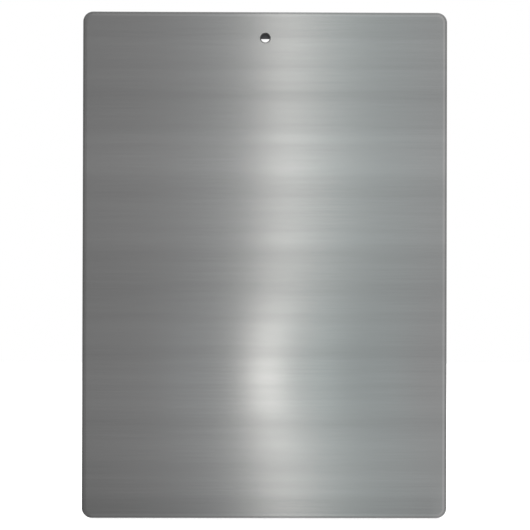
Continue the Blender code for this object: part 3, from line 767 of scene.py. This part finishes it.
def section_at(x):
    """(drop, height) in a vertical section at an x, to the frame."""
    return Matrix(((0, 0, -1, x), (0, -1, 0, FRONT), (-1, 0, 0, TOP), (0, 0, 0, 1)))


def plan_at(height):
    """(x, -drop) in a plan at a height, to the frame."""
    return Matrix(((1, 0, 0, 0), (0, 0, -1, FRONT - height), (0, 1, 0, TOP), (0, 0, 0, 1)))


def out_of_front(x, drop):
    """A frame whose local Z points out of the writing face."""
    return Matrix.Translation(spot(x, drop, 0)) @ Matrix.Rotation(math.pi / 2, 4, "X")


def along_pin():
    """A frame whose local Z runs along +X on the hinge's axis."""
    return Matrix.Translation(spot(0, *HINGE)) @ Matrix.Rotation(math.pi / 2, 4, "Y")


def evaluated_mesh(source):
    graph = bpy.context.evaluated_depsgraph_get()
    return bpy.data.meshes.new_from_object(source.evaluated_get(graph))


def link(name, data):
    made = bpy.data.objects.new(name, data)
    bpy.context.scene.collection.objects.link(made)
    return made


def bake(piece):
    """Applies a piece's modifiers."""
    bpy.context.view_layer.update()
    mesh = evaluated_mesh(piece)
    piece.modifiers.clear()
    piece.data = mesh


def from_curve(name, curve, matrix):
    """A curve's solid as a closed mesh, with its caps welded on."""
    guide = link(name + "_guide", curve)
    bpy.context.view_layer.update()
    mesh = evaluated_mesh(guide)
    bpy.data.objects.remove(guide)
    mesh.transform(matrix)
    shape = bmesh.new()
    shape.from_mesh(mesh)
    bmesh.ops.remove_doubles(shape, verts=shape.verts, dist=WELD)
    bmesh.ops.recalc_face_normals(shape, faces=shape.faces)
    shape.to_mesh(mesh)
    shape.free()
    return link(name, mesh)


def wound(loop, way):
    """The loop run anticlockwise for a way of 1, clockwise for -1."""
    area = sum(a[0] * b[1] - b[0] * a[1] for a, b in zip(loop, loop[1:] + loop[:1]))
    return loop if area * way > 0 else loop[::-1]


def extruded(name, loops, thickness, matrix, edge=0):
    """An outline and any holes, made a solid centred on their plane, with its rims rounded by an edge."""
    curve = bpy.data.curves.new(name, "CURVE")
    curve.dimensions = "2D"
    curve.fill_mode = "BOTH"
    curve.extrude = thickness / 2 - edge
    curve.bevel_depth = edge
    curve.bevel_resolution = EDGE_SMOOTHNESS
    curve.offset = -edge
    for index, loop in enumerate(loops):
        spline = curve.splines.new("POLY")
        spline.points.add(len(loop) - 1)
        spline.use_cyclic_u = True
        for point, (x, y) in zip(spline.points, wound(loop, -1 if index else 1)):
            point.co = (x, y, 0, 1)
    return from_curve(name, curve, matrix)


def turned(name, profile, matrix, closed=False):
    """A round piece: (radius, z) points, from the top down its outer side, spun about local Z."""
    shape = bmesh.new()
    points = [*profile, profile[0]] if closed else profile
    line = [shape.verts.new((radius, 0, z)) for radius, z in points]
    edges = [shape.edges.new(pair) for pair in zip(line, line[1:])]
    bmesh.ops.spin(shape, geom=line + edges, cent=(0, 0, 0), axis=(0, 0, 1), angle=math.tau, steps=TURN_STEPS)
    bmesh.ops.remove_doubles(shape, verts=shape.verts, dist=WELD)
    bmesh.ops.recalc_face_normals(shape, faces=shape.faces)
    bmesh.ops.transform(shape, matrix=matrix, verts=shape.verts)
    mesh = bpy.data.meshes.new(name)
    shape.to_mesh(mesh)
    shape.free()
    return link(name, mesh)


def combine(piece, other, operation):
    """A Boolean with another solid, which is used up."""
    change = piece.modifiers.new(operation, "BOOLEAN")
    change.operation = operation
    change.object = other
    change.solver = "EXACT"
    bake(piece)
    bpy.data.objects.remove(other)


def break_edges(piece):
    """Clears flat faces of triangles and tiny edges, then rounds the piece's sharp edges."""
    shape = bmesh.new()
    shape.from_mesh(piece.data)
    bmesh.ops.remove_doubles(shape, verts=shape.verts, dist=WELD)
    bmesh.ops.dissolve_limit(shape, angle_limit=FLAT_ANGLE, verts=shape.verts, edges=shape.edges)
    bmesh.ops.remove_doubles(shape, verts=shape.verts, dist=SHORT_EDGE)
    shape.to_mesh(piece.data)
    shape.free()
    change = piece.modifiers.new("Edge", "BEVEL")
    change.width = EDGE_BREAK
    change.segments = EDGE_SEGMENTS
    change.limit_method = "ANGLE"
    change.angle_limit = SMOOTH_ANGLE
    change.use_clamp_overlap = False
    change.loop_slide = False
    bake(piece)


def smooth(piece):
    """Smooth shading whose flat faces stay flat."""
    piece.data.shade_smooth()
    piece.data.set_sharp_from_angle(angle=SMOOTH_ANGLE)
    even = piece.modifiers.new("Normals", "WEIGHTED_NORMAL")
    even.keep_sharp = True
    even.weight = FLAT_FACE_WEIGHT
    bake(piece)


def settle(piece, looks, body, slot, *nodes):
    """Gives a piece its materials, its body if it has one, and hides the CAD nodes it replaces. Its finish
    slot is not used.
    """
    kept = [polygon.material_index for polygon in piece.data.polygons]
    piece.data.materials.clear()
    for look in looks:
        piece.data.materials.append(look)
    if len(looks) > 1:
        piece.data.polygons.foreach_set("material_index", kept)
    if body:
        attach(piece, body)
    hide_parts(*nodes)


# --- The board ----------------------------------------------------------------------------------------------

# Places in a sheet's list of looks, whose first is its flat field's: the band's inner facet, the rim (its
# outer facet and the sheet's side) and the holes.
BAND_LOOK, RIM_LOOK, HOLE_LOOK = 1, 2, 3


def board_ring(inset, y):
    """The board's outline, moved inward by an inset."""
    radius = CORNER_RADIUS - inset
    reach_x = BOARD_HALF - CORNER_RADIUS
    reach_z = (TOP - BOTTOM) / 2 - CORNER_RADIUS
    points = []
    for quarter, (sx, sz) in enumerate(((1, 1), (-1, 1), (-1, -1), (1, -1))):
        start = quarter * math.pi / 2
        centre = (sx * reach_x, BOARD_MIDDLE + sz * reach_z)
        corner = arc(centre, radius, start, start + math.pi / 2, CORNER_STEPS)
        points += [(x, y, z) for x, z in corner]
    return points


def hole_ring(centre, radius, y):
    return [(x, y, z) for x, z in circle(centre, radius)]


def add_ring(shape, points):
    return [shape.verts.new(point) for point in points]


def join_rings(shape, rings, material_index):
    """Quads between successive rings of the same count."""
    for lower, upper in zip(rings, rings[1:]):
        for i in range(len(lower)):
            face = shape.faces.new((lower[i - 1], lower[i], upper[i], upper[i - 1]))
            face.material_index = material_index


def ring_edges(shape, ring):
    return [shape.edges.get((ring[i - 1], ring[i])) for i in range(len(ring))]


def fill_flat(shape, rings):
    """Flat triangles between an outer ring and the holes in it."""
    edges = [edge for ring in rings for edge in ring_edges(shape, ring)]
    bmesh.ops.triangle_fill(shape, use_beauty=True, use_dissolve=False, edges=edges)


def round_over(radius, steps):
    """(inset, depth) points of an edge's quarter circle, from its side to its face."""
    angles = [math.pi / 2 * step / steps for step in range(steps + 1)]
    return [(radius * (1 - math.cos(angle)), radius * (1 - math.sin(angle))) for angle in angles]


def shade(shape, creases):
    """Smooth shading broken at the creased rings."""
    for face in shape.faces:
        face.smooth = True
    for ring in creases:
        for edge in ring_edges(shape, ring):
            edge.smooth = False


def make_skin(name, node, face_y, under_y, band_depth, edge_round, holes, looks):
    """A metal sheet of the board: a flat field, a bevelled band in two facets, a round-over and holes."""
    out = math.copysign(1, face_y - under_y)
    shape = bmesh.new()

    def edge_ring(inset, depth):
        return add_ring(shape, board_ring(inset, face_y - out * depth))

    under = add_ring(shape, board_ring(0, under_y))
    turn = [edge_ring(inset, band_depth + depth) for inset, depth in round_over(edge_round, ROUND_STEPS)]
    middle = edge_ring(edge_round + BAND_BREAK, band_depth * BAND_BREAK_DEPTH)
    field = edge_ring(edge_round + BAND_WIDTH, 0)
    join_rings(shape, [under, *turn, middle], RIM_LOOK)
    join_rings(shape, [middle, field], BAND_LOOK)
    creases = [under, turn[-1], middle, field]
    mouths, ends = [], []
    for centre, profile in holes:
        circles = [hole_ring(centre, radius, face_y - out * depth) for radius, depth in profile]
        rings = [add_ring(shape, points) for points in circles]
        join_rings(shape, rings, HOLE_LOOK)
        creases += rings
        mouths.append(rings[0])
        ends.append(rings[-1])
    fill_flat(shape, [field, *mouths])
    fill_flat(shape, [under, *ends])
    bmesh.ops.recalc_face_normals(shape, faces=shape.faces)
    shade(shape, creases)
    mesh = bpy.data.meshes.new(name)
    shape.to_mesh(mesh)
    shape.free()
    settle(link(name, mesh), looks, "board", "brushed_face", node)


def make_board(looks):
    """The two metal sheets. Each hole is a centre and its (radius, depth) profile."""
    back = BACK_HIGH.y - BACK_LOW.y
    front = FRONT_HIGH.y - FRONT_LOW.y
    sink = COUNTERSINK_RADIUS - HOLE_RADIUS
    countersunk = [
        (COUNTERSINK_RADIUS + COUNTERSINK_RIM, 0), (COUNTERSINK_RADIUS, COUNTERSINK_RIM / 2),
        (HOLE_RADIUS, sink), (HOLE_RADIUS, back),
    ]
    bored = [((0, 0), countersunk)]
    make_skin("back_skin", "back_panel", BACK, BACK_LOW.y, BACK_BAND_DEPTH, BACK_ROUND, bored,
              [looks["back"], looks["back_band"], looks["back_rim"], looks["hole_edge"]])
    drilled = [((0, 0), [(HOLE_RADIUS, 0), (HOLE_RADIUS, front)])]
    for _, sign in SIDES:
        centre = (sign * RIVET_X, TOP - RIVET_DROP)
        drilled.append((centre, [(RIVET_HOLE_RADIUS, 0), (RIVET_HOLE_RADIUS, front)]))
    make_skin("front_skin", "front_panel", FRONT, FRONT_HIGH.y, FRONT_BAND_DEPTH, FRONT_ROUND, drilled,
              [looks["front"], looks["front_band"], looks["front_band"], looks["hole_edge"]])


# --- The clip's fixed pieces --------------------------------------------------------------------------------

def base_plate_outlines():
    """The plate's rim, the window behind the hanging hole and the rivet holes, in plan."""
    outline = rounded(mirrored(plan([
        (PLATE_HALF_WIDTH, PLATE_TOP_DROP, PLATE_CORNER),
        (PLATE_HALF_WIDTH, PLATE_END_DROP, PLATE_FRONT_CORNER),
    ])))
    window = rounded(mirrored(plan([
        (WINDOW_HALF_WIDTH, WINDOW_TOP_DROP, WINDOW_TOP_CORNER),
        (WINDOW_HALF_WIDTH, WINDOW_END_DROP, WINDOW_CORNER),
    ])))
    holes = [circle((sign * RIVET_X, -RIVET_DROP), RIVET_HOLE_RADIUS, RIVET_HOLE_STEPS) for _, sign in SIDES]
    return [outline, window, *holes]


def make_base_plate(looks):
    """A plate with an ear for the pin and a paper stop on each side; its underside is painted dark, as
    painted shade seen through the hanging hole.
    """
    foot = PLATE_GAP + SHEET / 2
    plate = extruded("clip_base", base_plate_outlines(), SHEET, plan_at(foot), EDGE_BREAK)
    half = EAR_RADIUS + EAR_FOOT_FLARE
    head = arc(HINGE, EAR_RADIUS, 0, math.pi, FOOT_STEPS)
    ear_rim = [(HINGE_DROP + half, foot), *head, (HINGE_DROP - half, foot)]
    ear_loops = [ear_rim, circle(HINGE, EAR_HOLE_RADIUS, PIN_HOLE_STEPS)]
    ear_x = PLATE_HALF_WIDTH - EAR_SETBACK - SHEET / 2
    back = PLATE_END_DROP - SHEET
    stop_rim = [(back, foot), (PLATE_END_DROP, foot), (PLATE_END_DROP, STOP_HEIGHT), (back, STOP_HEIGHT)]
    for _, sign in SIDES:
        ear = extruded("ear", ear_loops, SHEET, section_at(sign * ear_x), EDGE_BREAK)
        combine(plate, ear, "UNION")
        stop = extruded("stop", [stop_rim], STOP_WIDTH, section_at(sign * STOP_OFFSET), EDGE_BREAK)
        combine(plate, stop, "UNION")
    smooth(plate)
    # Painted shade: the faces towards the board, on the plate's underside, get the dark look.
    under_y = PLATE_HIGH.y - SHEET / 4
    for polygon in plate.data.polygons:
        polygon.material_index = int(polygon.normal.y > FACING and polygon.center.y > under_y)
    settle(plate, [looks["plate"], looks["underside"]], "board", "plated_steel", "clip_base_plate")


def make_rivet(side, sign, looks):
    """A domed head, a shank, a bore in its end and a tail rolled out over the washer."""
    head_foot = RIVET_HEAD_TOP - RIVET_HEAD_RISE
    tail_top = RIVET_TAIL_END + RIVET_TAIL
    dome_rise = RIVET_HEAD_RISE - RIVET_HEAD_EDGE
    quarter = arc((0, 0), 1, math.pi / 2, 0, DOME_STEPS)
    dome = [(RIVET_HEAD_RADIUS * r, head_foot + RIVET_HEAD_EDGE + dome_rise * z) for r, z in quarter]
    dome[0] = (0, dome[0][1])
    profile = dome + [
        (RIVET_HEAD_RADIUS, head_foot),
        (RIVET_RADIUS, head_foot),
        (RIVET_RADIUS, tail_top),
        (RIVET_TAIL_RADIUS, tail_top),
        (RIVET_TAIL_RADIUS, RIVET_TAIL_END + RIVET_TAIL_ROUND),
        (RIVET_TAIL_RADIUS - RIVET_TAIL_ROUND, RIVET_TAIL_END),
        (RIVET_BORE_RADIUS, RIVET_TAIL_END),
        (RIVET_BORE_RADIUS, RIVET_TAIL_END + RIVET_BORE),
        (0, RIVET_TAIL_END + RIVET_BORE),
    ]
    rivet = turned("rivet_body_" + side, profile, out_of_front(sign * RIVET_X, RIVET_DROP))
    smooth(rivet)
    settle(rivet, [looks["rivet"]], "board", "rivet_metal", "rivet_" + side)


def make_hinge_pin(looks):
    """A headed pin. Its head is outside the left cheek and its chamfered end stands out of the right one."""
    head_inner = PIN_LOW.x + PIN_HEAD
    rim = round_over(PIN_TIP_CHAMFER, HEAD_ROUND_STEPS)
    profile = [
        (0, PIN_HIGH.x),
        (PIN_RADIUS - PIN_TIP_CHAMFER, PIN_HIGH.x),
        (PIN_RADIUS, PIN_HIGH.x - PIN_TIP_CHAMFER),
        (PIN_RADIUS, head_inner),
        (PIN_HEAD_RADIUS, head_inner),
        *[(PIN_HEAD_RADIUS - inset, PIN_LOW.x + depth) for inset, depth in rim],
        (0, PIN_LOW.x),
    ]
    pin = turned("pin_body", profile, along_pin())
    smooth(pin)
    settle(pin, [looks["pin"]], "board", "plated_steel", "hinge_pin")


def make_push_nut(looks):
    """A dished retaining ring on the pin's free end."""
    profile = [
        (NUT_BORE_RADIUS, NUT_HIGH.x),
        (NUT_RADIUS - NUT_DISH - NUT_RIM, NUT_HIGH.x),
        (NUT_RADIUS - NUT_RIM, NUT_HIGH.x - NUT_RIM),
        (NUT_RADIUS, NUT_HIGH.x - NUT_DISH),
        (NUT_RADIUS, NUT_LOW.x),
        (NUT_BORE_RADIUS, NUT_LOW.x + NUT_DISH),
    ]
    nut = turned("push_nut_body", profile, along_pin(), closed=True)
    smooth(nut)
    settle(nut, [looks["pin"]], "board", "plated_steel", "pin_push_nut")


def make_spacer_tube(looks):
    """The tube round the pin that keeps the springs apart."""
    profile = [
        (TUBE_BORE_RADIUS, TUBE_HIGH.x),
        (TUBE_RADIUS - TUBE_RIM, TUBE_HIGH.x),
        (TUBE_RADIUS, TUBE_HIGH.x - TUBE_RIM),
        (TUBE_RADIUS, TUBE_LOW.x + TUBE_RIM),
        (TUBE_RADIUS - TUBE_RIM, TUBE_LOW.x),
        (TUBE_BORE_RADIUS, TUBE_LOW.x),
    ]
    tube = turned("spacer_tube_body", profile, along_pin(), closed=True)
    smooth(tube)
    settle(tube, [looks["pin"]], "board", "plated_steel", "pin_spacer_tube")


def leg_angle(drop, height, turn):
    """Where on the coil a leg to this tip is tangent: turn is 1 for the low leg, -1 for the high one."""
    away = Vector((drop - HINGE_DROP, height - HINGE_HEIGHT))
    facing = math.atan2(away.y, away.x)
    return facing + turn * math.acos(COIL_RADIUS / away.length)


def spring_path():
    """(offset along the coil, drop, height) points: a low leg, the coil and a high leg."""
    low_height = PLATE_GAP + SHEET + LEG_GAP + WIRE_RADIUS
    high_height = tab_height(SPRING_HIGH_LEG_DROP) - SHEET / 2 - LEG_GAP - WIRE_RADIUS
    start = leg_angle(SPRING_LOW_LEG_DROP, low_height, 1)
    end = leg_angle(SPRING_HIGH_LEG_DROP, high_height, -1)
    total = end - start + math.tau * COIL_FULL_TURNS
    steps = round(total / math.tau * COIL_TURN_POINTS)
    length = COIL_PITCH * total / math.tau
    circles = arc(HINGE, COIL_RADIUS, start, start + total, steps)
    coil = [(length * i / steps, *point) for i, point in enumerate(circles)]
    low = (0, SPRING_LOW_LEG_DROP, low_height)
    high = (coil[-1][0], SPRING_HIGH_LEG_DROP, high_height)
    return [low, *coil, high]


def make_spring(side, sign, looks):
    """A torsion spring. One leg lies on the base plate, and the other sits under the lever."""
    path = [spot(sign * (COIL_START_X + along), drop, height) for along, drop, height in spring_path()]
    curve = bpy.data.curves.new("spring", "CURVE")
    curve.dimensions = "3D"
    curve.bevel_depth = WIRE_RADIUS
    curve.bevel_resolution = WIRE_SMOOTHNESS
    curve.use_fill_caps = True
    spline = curve.splines.new("POLY")
    spline.points.add(len(path) - 1)
    for point, place in zip(spline.points, path):
        point.co = (*place, 1)
    spring = from_curve("spring_wire_" + side, curve, Matrix.Identity(4))
    smooth(spring)
    settle(spring, [looks["spring"]], None, "spring_steel", "torsion_spring_" + side)
    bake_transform(spring)


# --- The clip's moving pieces -------------------------------------------------------------------------------

def cheek_outline():
    """A side cheek of the lever: a round foot about the pin, widening up to the lever's mid-line."""
    middle = [p for p in lever_midline() if CHEEK_START_DROP < p[0] < CHEEK_END_DROP and p[1] > HINGE_HEIGHT]
    foot = arc(HINGE, CHEEK_RADIUS, math.pi, math.tau, FOOT_STEPS)
    front = (CHEEK_END_DROP, jaw_height(CHEEK_END_DROP))
    back = (CHEEK_START_DROP, tab_height(CHEEK_START_DROP))
    return foot + [front, *middle, back]


def lever_plan():
    """The lever's outline from the front, run past the rolled lip."""
    return rounded(mirrored(plan([
        (TAB_HALF_WIDTH, TAB_TIP_DROP, TAB_CORNER),
        (TAB_HALF_WIDTH, SHOULDER_DROP, TAB_ROOT_FILLET),
        (LEVER_HALF_WIDTH, SHOULDER_DROP, SHOULDER_CORNER),
        (LEVER_HALF_WIDTH, JAW_SPREAD_DROP, JAW_FILLET),
        (JAW_HALF_WIDTH, JAW_FULL_DROP, JAW_FILLET),
        (JAW_HALF_WIDTH, LIP[0] + 2 * LIP_RADIUS + OVERCUT, OVERCUT / 2),
    ])), TRIM_STEPS)


def make_lever(looks):
    """A bent sheet trimmed to the lever's plan, with two cheeks and the holes for the pin and a wall hook."""
    midline = lever_midline()
    section = offset_path(midline, SHEET / 2) + offset_path(midline, -SHEET / 2)[::-1]
    lever = extruded("lever_sheet", [section], 2 * (JAW_HALF_WIDTH + OVERCUT), section_at(0))
    trim = extruded("trim", [lever_plan()], PRISM_DEPTH, plan_at(PRISM_DEPTH / 2 - OVERCUT))
    combine(lever, trim, "INTERSECT")
    hook_hole = circle((0, -TAB_HOLE_DROP), TAB_HOLE_RADIUS)
    drill = extruded("hook_hole", [hook_hole], PRISM_DEPTH, plan_at(HINGE_HEIGHT + PRISM_DEPTH / 2))
    combine(lever, drill, "DIFFERENCE")
    break_edges(lever)
    loops = [cheek_outline(), circle(HINGE, CHEEK_HOLE_RADIUS, PIN_HOLE_STEPS)]
    for _, sign in SIDES:
        middle = section_at(sign * (LEVER_HALF_WIDTH - CHEEK_SETBACK - SHEET / 2))
        cheek = extruded("cheek", loops, SHEET, middle, EDGE_BREAK)
        combine(lever, cheek, "UNION")
    smooth(lever)
    settle(lever, [looks["lever"]], "lever", "plated_steel", "clip_lever")


def make_jaw_grip(side, sign, looks):
    """A rubber sleeve, closed at its outer end, over a corner of the jaw."""
    slope = jaw_slope()
    up = Vector((-math.cos(slope), math.sin(slope)))
    out = Vector((math.sin(slope), math.cos(slope)))
    end = Vector(LIP) + out * LIP_RADIUS + up * GRIP_LENGTH_UP_JAW
    beyond = end + up * GRIP_SLOT_REACH
    skin = GRIP_FIT + GRIP_WALL
    outer_x = JAW_HALF_WIDTH + skin
    outer = tapered_capsule(LIP, LIP_RADIUS + SHEET / 2 + skin, end, SHEET / 2 + skin)
    inner = tapered_capsule(LIP, LIP_RADIUS + SHEET / 2 + GRIP_FIT, beyond, SHEET / 2 + GRIP_FIT)
    middle = section_at(sign * (outer_x + GRIP_INNER_X) / 2)
    grip = extruded("grip_sleeve_" + side, [outer], outer_x - GRIP_INNER_X, middle, RUBBER_EDGE)
    slot_end = JAW_HALF_WIDTH + GRIP_FIT
    slot_start = GRIP_INNER_X - OVERCUT
    slot = extruded("slot", [inner], slot_end - slot_start, section_at(sign * (slot_end + slot_start) / 2))
    combine(grip, slot, "DIFFERENCE")
    smooth(grip)
    settle(grip, [looks["rubber"]], "lever", "grip_rubber", "jaw_grip_" + side)


# --- Making it all ------------------------------------------------------------------------------------------

def paint_node(name, look):
    """A CAD node that stays gets a finished material."""
    for slot in frame["nodes"][name].material_slots:
        slot.material = look


def main():
    bpy.context.scene.view_settings.view_transform = "Standard"
    make_camera()
    make_world()
    for light in LIGHTS:
        make_light(*light)
    make_floor()
    looks = make_looks()
    paint_node("core_board", looks["core"])
    make_board(looks)
    make_base_plate(looks)
    make_hinge_pin(looks)
    make_push_nut(looks)
    make_spacer_tube(looks)
    make_lever(looks)
    for side, sign in SIDES:
        paint_node("rivet_washer_" + side, looks["rivet"])
        make_rivet(side, sign, looks)
        make_spring(side, sign, looks)
        make_jaw_grip(side, sign, looks)


main()
